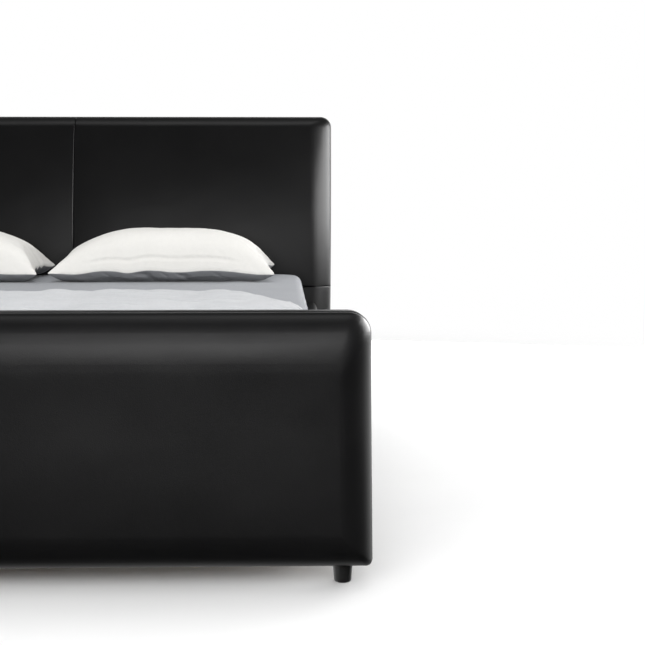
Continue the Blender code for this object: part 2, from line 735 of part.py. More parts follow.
def build_quilt():
    """The quilt over the mattress's top and a little way down its sides."""
    half = SHEET_HALF + GAP
    top = SHEET_TOP + GAP
    radius = MATTRESS_EDGE + half - MATTRESS_WIDTH / 2
    side = [(half, RAIL_TOP + QUILT_OVER_RAIL)]
    for i in range(CORNER_STEPS + 1):
        angle = math.pi / 2 * i / CORNER_STEPS
        side.append((half - radius * (1 - math.cos(angle)), top - radius * (1 - math.sin(angle))))
    profile = side + [(-x, z) for x, z in reversed(side)]
    foot = -MATTRESS_LENGTH / 2
    head = MATTRESS_LENGTH / 2 - QUILT_SHORT_OF_HEAD
    bm = bmesh.new()
    verts = [bm.verts.new((x, foot, z)) for x, z in profile]
    edges = [bm.edges.new(pair) for pair in zip(verts, verts[1:])]
    drawn = bmesh.ops.extrude_edge_only(bm, edges=edges)["geom"]
    new = [v for v in drawn if isinstance(v, bmesh.types.BMVert)]
    bmesh.ops.translate(bm, vec=(0, head - foot, 0), verts=new)
    bmesh.ops.recalc_face_normals(bm, faces=bm.faces[:])
    if sum(face.normal.z * face.calc_area() for face in bm.faces) < 0:
        bmesh.ops.reverse_faces(bm, faces=bm.faces[:])
    add_wall(add_mesh("quilt", bm, WHITE_COTTON), QUILT_THICKNESS)


def build_pillow(word, middle):
    """A stuffed pillow, crowned above its seam, with its sides pulled in between the corners."""
    bm = bmesh.new()
    bmesh.ops.create_cube(bm, size=2)
    bmesh.ops.subdivide_edges(bm, edges=bm.edges[:], cuts=PILLOW_CUTS, use_grid_fill=True)
    for vert in bm.verts:
        u, v, t = vert.co
        plump = math.sqrt(max(0.0, (1 - u**4) * (1 - v**4)))
        swell = PILLOW_RISE * plump if t > 0 else PILLOW_BELLY * math.sqrt(plump)
        vert.co.x = PILLOW_WIDTH / 2 * u * (1 - PILLOW_PINCH * (1 - v**2))
        vert.co.y = PILLOW_DEPTH / 2 * v * (1 - PILLOW_PINCH * (1 - u**2))
        vert.co.z = t * (PILLOW_SEAM_HALF + swell)
    bmesh.ops.recalc_face_normals(bm, faces=bm.faces[:])
    pillow = add_mesh(f"pillow_{word}", bm, WHITE_COTTON)
    seam = SHEET_TOP + GAP + PILLOW_SEAM_HALF + PILLOW_BELLY
    pillow.location = (middle, FACE - END_PLAY - PILLOW_DEPTH / 2, seam)


def build_bedding():
    add_mesh("mattress", loft(mattress_rings(0.0, MATTRESS_BOTTOM, True)), TICKING)
    sheet = loft(mattress_rings(GAP, MATTRESS_BOTTOM + SHEET_HEM, False), cap_first=False)
    add_wall(add_mesh("fitted_sheet", sheet, GREY_COTTON), SHEET_THICKNESS)
    build_quilt()
    from_middle = (PILLOW_WIDTH + PILLOW_SPACING) / 2
    build_pillow("left", PILLOWS_MIDDLE - from_middle)
    build_pillow("right", PILLOWS_MIDDLE + from_middle)


def centre_over_origin():
    """Slides the bed along Y until the origin is under the middle of its whole length."""
    bpy.context.view_layer.update()
    shown = [obj for obj in PARTS.objects if obj.data]
    ends = [(obj.matrix_world @ Vector(corner)).y for obj in shown for corner in obj.bound_box]
    BED.location.y -= (min(ends) + max(ends)) / 2


def shade_round_pieces():
    for obj in PARTS.objects:
        if obj.type == "MESH":
            obj.data.shade_smooth()
            obj.data.set_sharp_from_angle(angle=math.radians(35))


headboard = build_headboard()
footboard = build_footboard()
for sign, name in ((-1, "left"), (1, "right")):
    build_side(sign, name, ((HEAD, headboard), (FOOT, footboard)))
build_feet(HEAD, headboard)
build_feet(FOOT, footboard)
build_base()
build_bedding()
shade_round_pieces()
centre_over_origin()
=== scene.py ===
# Looks of the black leather sleigh bed: boards, rails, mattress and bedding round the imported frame.
import math

import bmesh
import bpy
import numpy as np
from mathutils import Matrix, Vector, noise


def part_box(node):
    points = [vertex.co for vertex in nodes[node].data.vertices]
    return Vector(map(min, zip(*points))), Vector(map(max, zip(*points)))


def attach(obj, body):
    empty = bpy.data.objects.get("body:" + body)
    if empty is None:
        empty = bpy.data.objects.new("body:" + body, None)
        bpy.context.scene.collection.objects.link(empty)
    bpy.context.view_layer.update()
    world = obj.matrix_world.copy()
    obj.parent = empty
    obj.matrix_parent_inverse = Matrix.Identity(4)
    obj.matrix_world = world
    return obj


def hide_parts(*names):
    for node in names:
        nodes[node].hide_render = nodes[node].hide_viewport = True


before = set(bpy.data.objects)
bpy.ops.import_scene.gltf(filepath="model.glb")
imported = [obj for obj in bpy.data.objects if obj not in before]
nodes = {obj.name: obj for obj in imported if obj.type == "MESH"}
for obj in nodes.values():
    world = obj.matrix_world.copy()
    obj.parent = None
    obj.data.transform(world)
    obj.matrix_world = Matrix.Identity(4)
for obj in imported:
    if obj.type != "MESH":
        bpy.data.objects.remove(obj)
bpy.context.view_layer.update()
mattressLow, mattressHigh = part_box("mattress")
middleY = (mattressLow.y + mattressHigh.y) / 2  # the bed's own middle, which the boards count from
print("frame loaded,", len(nodes), "nodes")

# ---- camera ----
cameraSettings = {"place": (0.6810, -4.1938, 0.8237), "turn": 1.695, "tilt": 5.345, "lens": 86.09}

cameraData = bpy.data.cameras.new("studioCamera")
cameraData.lens = cameraSettings["lens"]
cameraData.sensor_width = 36
cameraData.clip_end = 200
camera = bpy.data.objects.new("studioCamera", cameraData)
camera.location = cameraSettings["place"]
camera.rotation_euler = (math.radians(90 - cameraSettings["tilt"]), 0, -math.radians(cameraSettings["turn"]))
bpy.context.scene.collection.objects.link(camera)
bpy.context.scene.camera = camera


# ---- modelling helpers ----
def selectOnly(piece):
    bpy.ops.object.select_all(action="DESELECT")
    piece.select_set(True)
    bpy.context.view_layer.objects.active = piece


def startPiece(name):
    # the primitive just added becomes the piece, with its place moved into its mesh
    piece = bpy.context.object
    piece.name = name
    piece.data.name = name
    selectOnly(piece)
    bpy.ops.object.transform_apply(location=True, rotation=True, scale=True)
    return piece


def addPanel(name, low, high, depth):
    # an upright rectangle facing along Y, from its low corner to its high one
    size = (high[0] - low[0], high[1] - low[1])
    bpy.ops.object.select_all(action="DESELECT")
    bpy.ops.mesh.primitive_plane_add(size=1, rotation=(math.pi / 2, 0, 0))
    piece = bpy.context.object
    piece.location = ((low[0] + high[0]) / 2, depth, (low[1] + high[1]) / 2)
    piece.scale = (size[0], size[1], 1)
    return startPiece(name)


def addBlock(name, low, high):
    bpy.ops.object.select_all(action="DESELECT")
    bpy.ops.mesh.primitive_cube_add(size=1)
    piece = bpy.context.object
    piece.location = [(a + b) / 2 for a, b in zip(low, high)]
    piece.scale = [b - a for a, b in zip(low, high)]
    return startPiece(name)


def editMode(piece):
    selectOnly(piece)
    bpy.ops.object.mode_set(mode="EDIT")


def objectMode():
    bpy.ops.object.mode_set(mode="OBJECT")


def pick(piece, kind, test):
    # selects the verts, edges or faces that pass the test, and returns how many
    bpy.ops.mesh.select_mode(type=kind)
    bpy.ops.mesh.select_all(action="DESELECT")
    shape = bmesh.from_edit_mesh(piece.data)
    parts = {"VERT": shape.verts, "EDGE": shape.edges, "FACE": shape.faces}[kind]
    count = 0
    for part in parts:
        if test(part):
            part.select_set(True)
            count += 1
    shape.select_flush_mode()
    bmesh.update_edit_mesh(piece.data)
    return count


def sliceAll(planes, normal):
    # cuts the whole mesh at each plane, without taking anything away
    for place in planes:
        bpy.ops.mesh.select_all(action="SELECT")
        at = [place * n for n in normal]
        bpy.ops.mesh.bisect(plane_co=at, plane_no=normal)


def readPoints(piece):
    points = np.empty(len(piece.data.vertices) * 3)
    piece.data.vertices.foreach_get("co", points)
    return points.reshape(-1, 3)


def writePoints(piece, points):
    piece.data.vertices.foreach_set("co", np.ascontiguousarray(points, dtype=np.float32).ravel())
    piece.data.update()


def applyModifiers(piece):
    selectOnly(piece)
    for modifier in list(piece.modifiers):
        bpy.ops.object.modifier_apply(modifier=modifier.name)


def smooth(piece, angle=40):
    selectOnly(piece)
    bpy.ops.object.shade_smooth_by_angle(angle=math.radians(angle))


def outwards(piece):
    editMode(piece)
    bpy.ops.mesh.select_all(action="SELECT")
    bpy.ops.mesh.normals_make_consistent(inside=False)
    objectMode()


def softNoise(points, scale, seed):
    # a smooth value near -1..1 for each point
    return np.array([noise.noise(Vector(p) * scale + Vector((seed, seed * 0.7, 0))) for p in points])


def ease(low, high, value):
    share = np.clip((value - low) / (high - low), 0, 1)
    return share * share * (3 - 2 * share)


# ---- materials ----
class Wire:
    # a socket or a number that takes part in shader sums
    def __init__(self, tree, socket):
        self.tree = tree
        self.socket = socket

    def sum(self, operation, other, swap=False):
        made = self.tree.nodes.new("ShaderNodeMath")
        made.operation = operation
        pair = (other, self) if swap else (self, other)
        for slot, value in zip(made.inputs, pair):
            if isinstance(value, Wire):
                self.tree.links.new(value.socket, slot)
            else:
                slot.default_value = value
        return Wire(self.tree, made.outputs[0])

    def __add__(self, other):
        return self.sum("ADD", other)

    def __radd__(self, other):
        return self.sum("ADD", other, True)

    def __sub__(self, other):
        return self.sum("SUBTRACT", other)

    def __rsub__(self, other):
        return self.sum("SUBTRACT", other, True)

    def __mul__(self, other):
        return self.sum("MULTIPLY", other)

    def __rmul__(self, other):
        return self.sum("MULTIPLY", other, True)


class Finish:
    # one material, built node by node
    def __init__(self, name):
        self.material = bpy.data.materials.new(name)
        self.material.use_nodes = True
        self.tree = self.material.node_tree
        self.shader = self.tree.nodes["Principled BSDF"]

    def node(self, kind, settings=None, inputs=None, out=0):
        made = self.tree.nodes.new("ShaderNode" + kind)
        for key, value in (settings or {}).items():
            setattr(made, key, value)
        for key, value in (inputs or {}).items():
            self.put(made.inputs[key], value)
        return Wire(self.tree, made.outputs[out])

    def put(self, slot, value):
        if isinstance(value, Wire):
            self.tree.links.new(value.socket, slot)
        elif isinstance(value, tuple) and len(value) == 3 and slot.type == "RGBA":
            slot.default_value = (*value, 1)
        else:
            slot.default_value = value

    def place(self, stretch=(1, 1, 1), turn=(0, 0, 0)):
        at = self.node("TexCoord", out=3)
        return self.node("Mapping", None, {"Vector": at, "Scale": stretch, "Rotation": turn})

    def noise(self, scale, detail=3.0, roughness=0.5, stretch=(1, 1, 1), distortion=0.0):
        return self.node("TexNoise", None, {
            "Vector": self.place(stretch), "Scale": scale, "Detail": detail,
            "Roughness": roughness, "Distortion": distortion,
        })

    def mix(self, share, one, two):
        return self.node("Mix", {"data_type": "RGBA"}, {"Factor": share, 6: one, 7: two}, out=2)

    def ramp(self, value, low, high):
        return self.node("MapRange", {"interpolation_type": "SMOOTHSTEP"},
                         {"Value": value, "From Min": low, "From Max": high})

    def bump(self, height, strength, distance):
        self.put(self.shader.inputs["Normal"], self.node("Bump", None, {
            "Strength": strength, "Distance": distance, "Height": height}))

    def body(self):
        return Wire(self.tree, self.shader.outputs[0])

    def set(self, **values):
        for key, value in values.items():
            self.put(self.shader.inputs[key.replace("_", " ")], value)
        return self.material


def leatherFinish(name, rough, grain, gleam):
    # fine pebbled full-grain leather with faint cloudy wear
    finish = Finish(name)
    pebble = finish.node("TexVoronoi", {"feature": "SMOOTH_F1"}, {
        "Vector": finish.place(), "Scale": 620.0, "Smoothness": 0.6, "Randomness": 1.0})
    crease = finish.noise(210.0, 5.0, 0.6)
    cloud = finish.noise(7.0, 4.0, 0.55)
    streak = finish.noise(3.2, 2.0, 0.5, (0.6, 1, 1))
    height = pebble * 0.5 + crease * 0.5 + cloud * 1.6
    finish.bump(height, grain, 0.0016)
    shade = finish.mix(cloud * 0.6 + crease * 0.4, (0.0019, 0.0019, 0.0021), (0.0046, 0.0045, 0.0047))
    return finish.set(Base_Color=shade, Roughness=rough - 0.05 + cloud * 0.07 + streak * 0.05,
                      Specular_IOR_Level=gleam)


def cottonFinish(name, light, dark, threads, fuzz):
    # plain weave: two crossing sets of threads, slubs and faint cloudy shading
    finish = Finish(name)
    warp = finish.node("TexWave", {"wave_type": "BANDS", "bands_direction": "X"}, {
        "Vector": finish.place(), "Scale": threads, "Distortion": 1.2, "Detail": 1.0, "Detail Scale": 3.0})
    weft = finish.node("TexWave", {"wave_type": "BANDS", "bands_direction": "Y"}, {
        "Vector": finish.place(), "Scale": threads, "Distortion": 1.2, "Detail": 1.0, "Detail Scale": 3.0})
    slub = finish.noise(90.0, 3.0, 0.6, (1, 0.15, 1))
    cloud = finish.noise(5.0, 4.0, 0.6)
    weave = warp * weft
    finish.bump(weave * 0.6 + slub * 0.4, 0.35, 0.0007)
    shade = finish.mix(finish.ramp(weave * 0.35 + slub * 0.3 + cloud * 0.5, 0.2, 0.95), dark, light)
    finish.set(Base_Color=shade, Roughness=0.86 + slub * 0.1, Sheen_Weight=fuzz, Specular_IOR_Level=0.2)
    return finish


def woodFinish(name, light, dark, along, rough, layers=0.0):
    # long grain along one axis, with pores, and glue lines where layers is set
    finish = Finish(name)
    stretch = [14.0, 14.0, 14.0]
    stretch[along] = 0.9
    rings = finish.noise(3.0, 6.0, 0.62, tuple(stretch), 0.6)
    pores = finish.noise(26.0, 4.0, 0.7, tuple(stretch))
    share = rings * 0.75 + pores * 0.25
    shade = finish.mix(finish.ramp(share, 0.3, 0.7), dark, light)
    if layers:
        lines = finish.node("TexWave", {"bands_direction": "Y"}, {
            "Vector": finish.place(), "Scale": layers, "Distortion": 0.4})
        shade = finish.mix(lines * 0.35, shade, dark)
    finish.bump(share, 0.3, 0.0012)
    return finish.set(Base_Color=shade, Roughness=rough + pores * 0.12)


def metalFinish(name, colour, rough, brushed, metallic=1.0):
    finish = Finish(name)
    brush = finish.noise(160.0, 3.0, 0.6, (1, 0.08, 1) if brushed else (1, 1, 1))
    spots = finish.noise(38.0, 4.0, 0.6)
    shade = finish.mix(finish.ramp(spots, 0.35, 0.75), tuple(c * 0.72 for c in colour), colour)
    finish.bump(brush * 0.5 + spots * 0.5, 0.15, 0.0006)
    return finish.set(Base_Color=shade, Roughness=rough + brush * 0.12, Metallic=metallic)


def rubberFinish():
    finish = Finish("rubber")
    dust = finish.noise(60.0, 4.0, 0.6)
    shade = finish.mix(finish.ramp(dust, 0.4, 0.8), (0.018, 0.018, 0.018), (0.05, 0.049, 0.047))
    finish.bump(dust, 0.2, 0.0005)
    return finish.set(Base_Color=shade, Roughness=0.72 + dust * 0.15)


def lacquerFinish():
    # black lacquered wood, a little open grain under the gloss
    finish = Finish("black_lacquer")
    grain = finish.noise(60.0, 4.0, 0.6, (1, 1, 0.08))
    wear = finish.noise(14.0, 3.0, 0.5)
    shade = finish.mix(finish.ramp(wear, 0.4, 0.8), (0.006, 0.006, 0.006), (0.014, 0.0135, 0.013))
    finish.bump(grain, 0.12, 0.0006)
    return finish.set(Base_Color=shade, Roughness=0.3 + wear * 0.12, Coat_Weight=0.25, Coat_Roughness=0.2)


def tickingFinish():
    # quilted white mattress fabric, stitched in diamonds
    finish = Finish("mattress_ticking")
    one = finish.node("TexWave", {"bands_direction": "X"}, {
        "Vector": finish.place(turn=(0, 0, math.radians(45))), "Scale": 3.2, "Distortion": 0.0})
    two = finish.node("TexWave", {"bands_direction": "Y"}, {
        "Vector": finish.place(turn=(0, 0, math.radians(45))), "Scale": 3.2, "Distortion": 0.0})
    thread = finish.noise(300.0, 2.0, 0.6, (1, 0.3, 1))
    finish.bump(one * 0.5 + two * 0.5 + thread * 0.1, 0.5, 0.004)
    # painted shade of the quilting: the colour is darker along the stitched lines and lighter over the
    # puffed middles of the diamonds
    shade = finish.mix(finish.ramp(one * two, 0.0, 0.5), (0.66, 0.65, 0.62), (0.82, 0.81, 0.78))
    return finish.set(Base_Color=shade, Roughness=0.85 + thread * 0.1, Sheen_Weight=0.1)


leather = leatherFinish("black_leather", 0.37, 0.16, 0.27)
pipingLeather = leatherFinish("black_leather_piping", 0.55, 0.10, 0.10)
sheetCotton = cottonFinish("grey_cotton", (0.30, 0.31, 0.33), (0.245, 0.255, 0.275), 260.0, 0.12).material
quiltCotton = cottonFinish("pale_cotton", (0.56, 0.565, 0.575), (0.45, 0.46, 0.475), 240.0, 0.12).material
ticking = tickingFinish()
lacquer = lacquerFinish()
rubber = rubberFinish()
pineLong = woodFinish("pine", (0.62, 0.43, 0.25), (0.42, 0.26, 0.13), 1, 0.5)
pineWide = woodFinish("pine_across", (0.62, 0.43, 0.25), (0.42, 0.26, 0.13), 0, 0.5)
pineTall = woodFinish("pine_upright", (0.62, 0.43, 0.25), (0.42, 0.26, 0.13), 2, 0.5)
plywood = woodFinish("plywood", (0.66, 0.50, 0.32), (0.46, 0.32, 0.19), 0, 0.55, 70.0)
blackSteel = metalFinish("black_steel", (0.035, 0.035, 0.037), 0.42, False, 0.6)
zincSteel = metalFinish("zinc_steel", (0.58, 0.59, 0.60), 0.28, True)


def pillowFinish(name):
    # white on top, grey below, parted by the "upper" value that the pillow's mesh carries
    finish = cottonFinish(name, (0.77, 0.76, 0.735), (0.69, 0.68, 0.65), 250.0, 0.1)
    upper = finish.node("Attribute", {"attribute_name": "upper"}, out=2)
    split = finish.ramp(upper, -0.0012, 0.0012)
    white = Wire(finish.tree, finish.shader.inputs["Base Color"].links[0].from_socket)
    slub = finish.noise(70.0, 3.0, 0.6, (0.2, 1, 1))
    grey = finish.mix(slub, (0.155, 0.16, 0.17), (0.21, 0.215, 0.225))
    return finish.set(Base_Color=finish.mix(split, grey, white))


pillowCotton = pillowFinish("white_cotton")
print("materials made,", len(bpy.data.materials))

# ---- the two leather boards ----
# Depths count outwards from the board's mattress side; lean carries the top outwards on a wide arc.
boardSettings = {
    "head": {
        "side": 1, "half": 0.867, "top": 1.0315, "corner": 0.035, "lowCorner": 0.012, "bottom": 0.043,
        "start": 0.46, "reach": 0.10, "spread": -0.008, "cushion": (0.060, 0.0), "piping": 0.0638,
        "rim": 0.0676, "floor": 0.1059, "face": 0.1139,
    },
    "foot": {
        "side": -1, "half": 0.867, "top": 0.5605, "corner": 0.045, "lowCorner": 0.012, "bottom": 0.043,
        "start": 0.30, "reach": 0.03, "spread": 0.006, "cushion": (0.0579, 0.1279), "piping": 0.0541,
        "rim": 0.0503, "floor": 0.012, "face": 0.0,
    },
    "mattressToBoard": 1.027,
}
# How far each leather edge rolls over: a sewn seam's roll is small, a free edge's is wide.
padSettings = {
    "wall": 0.008, "seamDepth": 0.005, "rollSteps": 14, "cornerSteps": 8, "crown": 0.010, "slack": 0.0009,
    "seamRoll": 0.0045, "seamGap": 0.00015, "headSideRoll": 0.075, "headTopRoll": 0.035,
    "footSideRoll": 0.070, "footBottomRoll": 0.080, "footTopRoll": 0.125,
}
coverSettings = {"rim": 0.010, "edge": 0.007, "edgeSteps": 5}
pipingSettings = {"radius": 0.0035, "sunk": 0.0015, "spacing": 0.02, "cornerSteps": 12}


def boardLean(board, z):
    # how far outwards the board's arc carries a point at each height
    rise = board["top"] - board["start"]
    radius = (rise**2 + board["reach"] ** 2) / (2 * board["reach"])
    above = np.clip(z - board["start"], 0, None)
    return radius - np.sqrt(radius**2 - above**2)


def boardPoints(points, board):
    # carries (across, depth, height) points onto the curved board
    x, depth, z = points[:, 0], points[:, 1], points[:, 2]
    wider = 1 + board["spread"] / board["half"] * (board["top"] - z) / board["top"]
    y = board["side"] * (boardSettings["mattressToBoard"] + depth + boardLean(board, z)) + middleY
    return np.stack([x * wider, y, z], axis=1)


def ringPoints(low, high, corners, steps):
    # points round a rectangle with its own radius at lower left, lower right, upper right, upper left
    places = ((low[0], low[1], 1, 1, 180), (high[0], low[1], -1, 1, 270),
              (high[0], high[1], -1, -1, 0), (low[0], high[1], 1, -1, 90))
    found = []
    for (x, z, inX, inZ, start), radius in zip(places, corners):
        for i in range(steps + 1):
            angle = math.radians(start + 90 * i / steps)
            found.append((x + inX * radius + radius * math.cos(angle),
                          z + inZ * radius + radius * math.sin(angle)))
    return found


def roundPanel(name, low, high, corners, steps, depth):
    # a flat panel whose four corners are bevelled to their radii
    piece = addPanel(name, low, high, depth)
    editMode(piece)
    places = ((low[0], low[1]), (high[0], low[1]), (high[0], high[1]), (low[0], high[1]))
    for (x, z), radius in zip(places, corners):
        pick(piece, "VERT", lambda v: abs(v.co.x - x) < 1e-5 and abs(v.co.z - z) < 1e-5)
        bpy.ops.mesh.bevel(offset=radius, segments=steps, affect="VERTICES")
    bpy.ops.mesh.select_mode(type="FACE")
    bpy.ops.mesh.select_all(action="SELECT")
    return piece


def growRing(piece, depth, low, high, corners, steps):
    # extrudes the selected face and sets its rim to a new rounded rectangle at a depth
    bpy.ops.mesh.extrude_region_move(TRANSFORM_OT_translate={"value": (0, 0, 0)})
    shape = bmesh.from_edit_mesh(piece.data)
    middle = ((low[0] + high[0]) / 2, (low[1] + high[1]) / 2)
    rim = [v for v in shape.verts if v.select]

    def angleOf(x, z):
        return math.atan2(z - middle[1], x - middle[0])

    rim.sort(key=lambda v: angleOf(v.co.x, v.co.z))
    targets = sorted(ringPoints(low, high, corners, steps), key=lambda p: angleOf(*p))
    for vert, (x, z) in zip(rim, targets):
        vert.co = (x, depth, z)
    bmesh.update_edit_mesh(piece.data)


def makePad(name, board, across, up, rolls, corners):
    # a stuffed leather pad: flat back, and a face that rolls over on every side into mitred corners
    steps = padSettings["cornerSteps"]
    back, front = board["cushion"]
    direction = 1 if front > back else -1
    thick = abs(front - back)
    left, right, bottom, top = rolls
    piece = roundPanel(name, (across[0], up[0]), (across[1], up[1]), corners, steps, back)
    seam = padSettings["seamDepth"]
    turns = [math.pi / 2 * i / padSettings["rollSteps"] for i in range(padSettings["rollSteps"] + 1)]
    for angle in turns[:-1] + [turns[-1] * share for share in (0.95, 0.975, 1.0)]:
        depth = padSettings["wall"] + (thick - padSettings["wall"]) * math.sin(angle)
        into = min(1.0, max(0.0, (depth - thick + seam) / seam))  # a sewn seam is only this deep

        def inward(roll):
            return roll * (1 - (math.cos(angle) if roll > 0.02 else math.sqrt(1 - into**2)))

        low = (across[0] + inward(left), up[0] + inward(bottom))
        high = (across[1] - inward(right), up[1] - inward(top))
        tight = [r * (1 - 0.85 * (1 - math.cos(angle))) for r in corners]
        growRing(piece, back + direction * depth, low, high, tight, steps)
    sliceAll(np.arange(up[0] + 0.02, up[1] - 0.01, 0.02), (0, 0, 1))
    sliceAll(np.arange(across[0] + 0.03, across[1] - 0.01, 0.03), (1, 0, 0))
    objectMode()
    points = readPoints(piece)
    u = np.clip((points[:, 0] - across[0]) / (across[1] - across[0]) * 2 - 1, -1, 1)
    v = np.clip((points[:, 2] - up[0]) / (up[1] - up[0]) * 2 - 1, -1, 1)
    outer = np.abs(points[:, 1] - back) / thick
    swell = (1 - u**6) * (1 - v**2) * min(padSettings["crown"], 0.03 * (up[1] - up[0]))
    slack = softNoise(points * (1, 0, 1), 9.0, 3.1) + 0.5 * softNoise(points * (1, 0, 1), 22.0, 8.4)
    points[:, 1] += direction * ease(0.3, 1.0, outer) * (swell + slack * padSettings["slack"])
    writePoints(piece, boardPoints(points, board))
    outwards(piece)
    smooth(piece, 50)
    piece.data.materials.append(leather)
    return piece


def makeCover(name, board):
    # the leather over a board's thin side and round its edges, as a shallow tray
    steps = padSettings["cornerSteps"]
    half, rim = board["half"], coverSettings["rim"]
    corners = [board["lowCorner"], board["lowCorner"], board["corner"], board["corner"]]
    low, high = (-half, board["bottom"]), (half, board["top"])
    edge = coverSettings["edge"]  # the face turns over into the edge on this radius
    direction = 1 if board["rim"] > board["face"] else -1
    # the face panel stands this far in from the outline where it starts to turn
    piece = roundPanel(name, (low[0] + edge, low[1] + edge), (high[0] - edge, high[1] - edge),
                       [max(r - edge, 0.004) for r in corners], steps, board["face"])
    for i in range(1, coverSettings["edgeSteps"] + 1):
        angle = math.pi / 2 * i / coverSettings["edgeSteps"]
        inward, depth = edge * (1 - math.sin(angle)), edge * (1 - math.cos(angle))
        growRing(piece, board["face"] + direction * depth, (low[0] + inward, low[1] + inward),
                 (high[0] - inward, high[1] - inward), [max(r - inward, 0.004) for r in corners], steps)
    growRing(piece, board["rim"], low, high, corners, steps)
    inner = [max(r - rim, 0.0012) for r in corners]
    for depth in (board["rim"], board["floor"]):
        growRing(piece, depth, (low[0] + rim, low[1] + rim), (high[0] - rim, high[1] - rim), inner, steps)
    sliceAll(np.arange(board["bottom"] + 0.03, board["top"] - 0.01, 0.03), (0, 0, 1))
    sliceAll(np.arange(-half + 0.06, half - 0.01, 0.06), (1, 0, 0))
    objectMode()
    points = readPoints(piece)
    near = ease(edge * 1.5, 0.0, np.abs(points[:, 1] - board["face"]))
    inside = ease(0.01, 0.12, half - np.abs(points[:, 0])) * ease(0.01, 0.1, board["top"] - points[:, 2])
    slack = softNoise(points * (1, 0, 1), 8.0, 5.3) * 0.0010
    points[:, 1] += direction * near * inside * np.clip(slack + 0.0012, 0.0, 0.003)
    writePoints(piece, boardPoints(points, board))
    outwards(piece)
    smooth(piece, 40)
    piece.data.materials.append(leather)
    return piece


def makePiping(name, board):
    # the leather-covered cord that runs once round the board between the pad and the edge cover
    s = pipingSettings
    radius = s["radius"]
    inset = radius - s["sunk"]
    half = board["half"]
    corners = [board["lowCorner"] - inset] * 2 + [board["corner"] - inset] * 2
    outline = ringPoints((-half + inset, board["bottom"] + inset), (half - inset, board["top"] - inset),
                         corners, s["cornerSteps"])
    route = []
    for here, after in zip(outline, outline[1:] + outline[:1]):
        length = math.dist(here, after)
        cuts = max(1, int(length / s["spacing"]))
        for i in range(cuts):
            share = i / cuts
            route.append((here[0] + share * (after[0] - here[0]), board["piping"],
                          here[1] + share * (after[1] - here[1])))
    route = boardPoints(np.array(route), board)
    curve = bpy.data.curves.new(name, "CURVE")
    curve.dimensions = "3D"
    curve.bevel_depth = radius
    curve.bevel_resolution = 3
    spline = curve.splines.new("POLY")
    spline.points.add(len(route) - 1)
    for point, place in zip(spline.points, route):
        point.co = (*place, 1)
    spline.use_cyclic_u = True
    piece = bpy.data.objects.new(name, curve)
    bpy.context.scene.collection.objects.link(piece)
    selectOnly(piece)
    bpy.ops.object.convert(target="MESH")
    piece = bpy.context.object
    smooth(piece, 60)
    piece.data.materials.append(pipingLeather)
    return piece


def dressBoards():
    # each pad: its board, its outline, its rolls at left, right, bottom and top, and its corner radii
    s = padSettings
    head, foot = boardSettings["head"], boardSettings["foot"]
    half, seam, gap, small = head["half"], head["start"], s["seamGap"], s["seamRoll"]
    wide, top = s["headSideRoll"], s["headTopRoll"]
    pads = (
        ("headboard_cushion_left", head, (-half, -gap), (seam + gap, head["top"]),
         (wide, small, small, top), (small, small, small, head["corner"])),
        ("headboard_cushion_right", head, (gap, half), (seam + gap, head["top"]),
         (small, wide, small, top), (small, small, head["corner"], small)),
        ("headboard_lower_cushion", head, (-half, half), (head["bottom"], seam - gap),
         (wide, wide, small, small), (head["lowCorner"], head["lowCorner"], small, small)),
        ("footboard_cushion", foot, (-half, half), (foot["bottom"], foot["top"]),
         (s["footSideRoll"], s["footSideRoll"], s["footBottomRoll"], s["footTopRoll"]),
         (foot["lowCorner"], foot["lowCorner"], foot["corner"], foot["corner"])),
    )
    for name, board, across, up, rolls, corners in pads:
        pad = makePad("soft_" + name, board, across, up, rolls, corners)
        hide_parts(name)
        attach(pad, "bed_frame")
    for node, board in (("headboard_back_cover", head), ("footboard_inner_cover", foot)):
        cover = makeCover("fine_" + node, board)
        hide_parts(node)
        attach(cover, "bed_frame")
    for node, board in (("headboard_piping", head), ("footboard_piping", foot)):
        cord = makePiping("fine_" + node, board)
        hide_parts(node)
        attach(cord, "bed_frame")


dressBoards()
print("boards dressed")

# ---- side rails ----
railSettings = {"inner": 0.768, "outer": 0.8133, "core": 0.027, "bottom": 0.10, "top": 0.406, "pad": 0.018,
                "round": 0.015, "half": 1.0267}


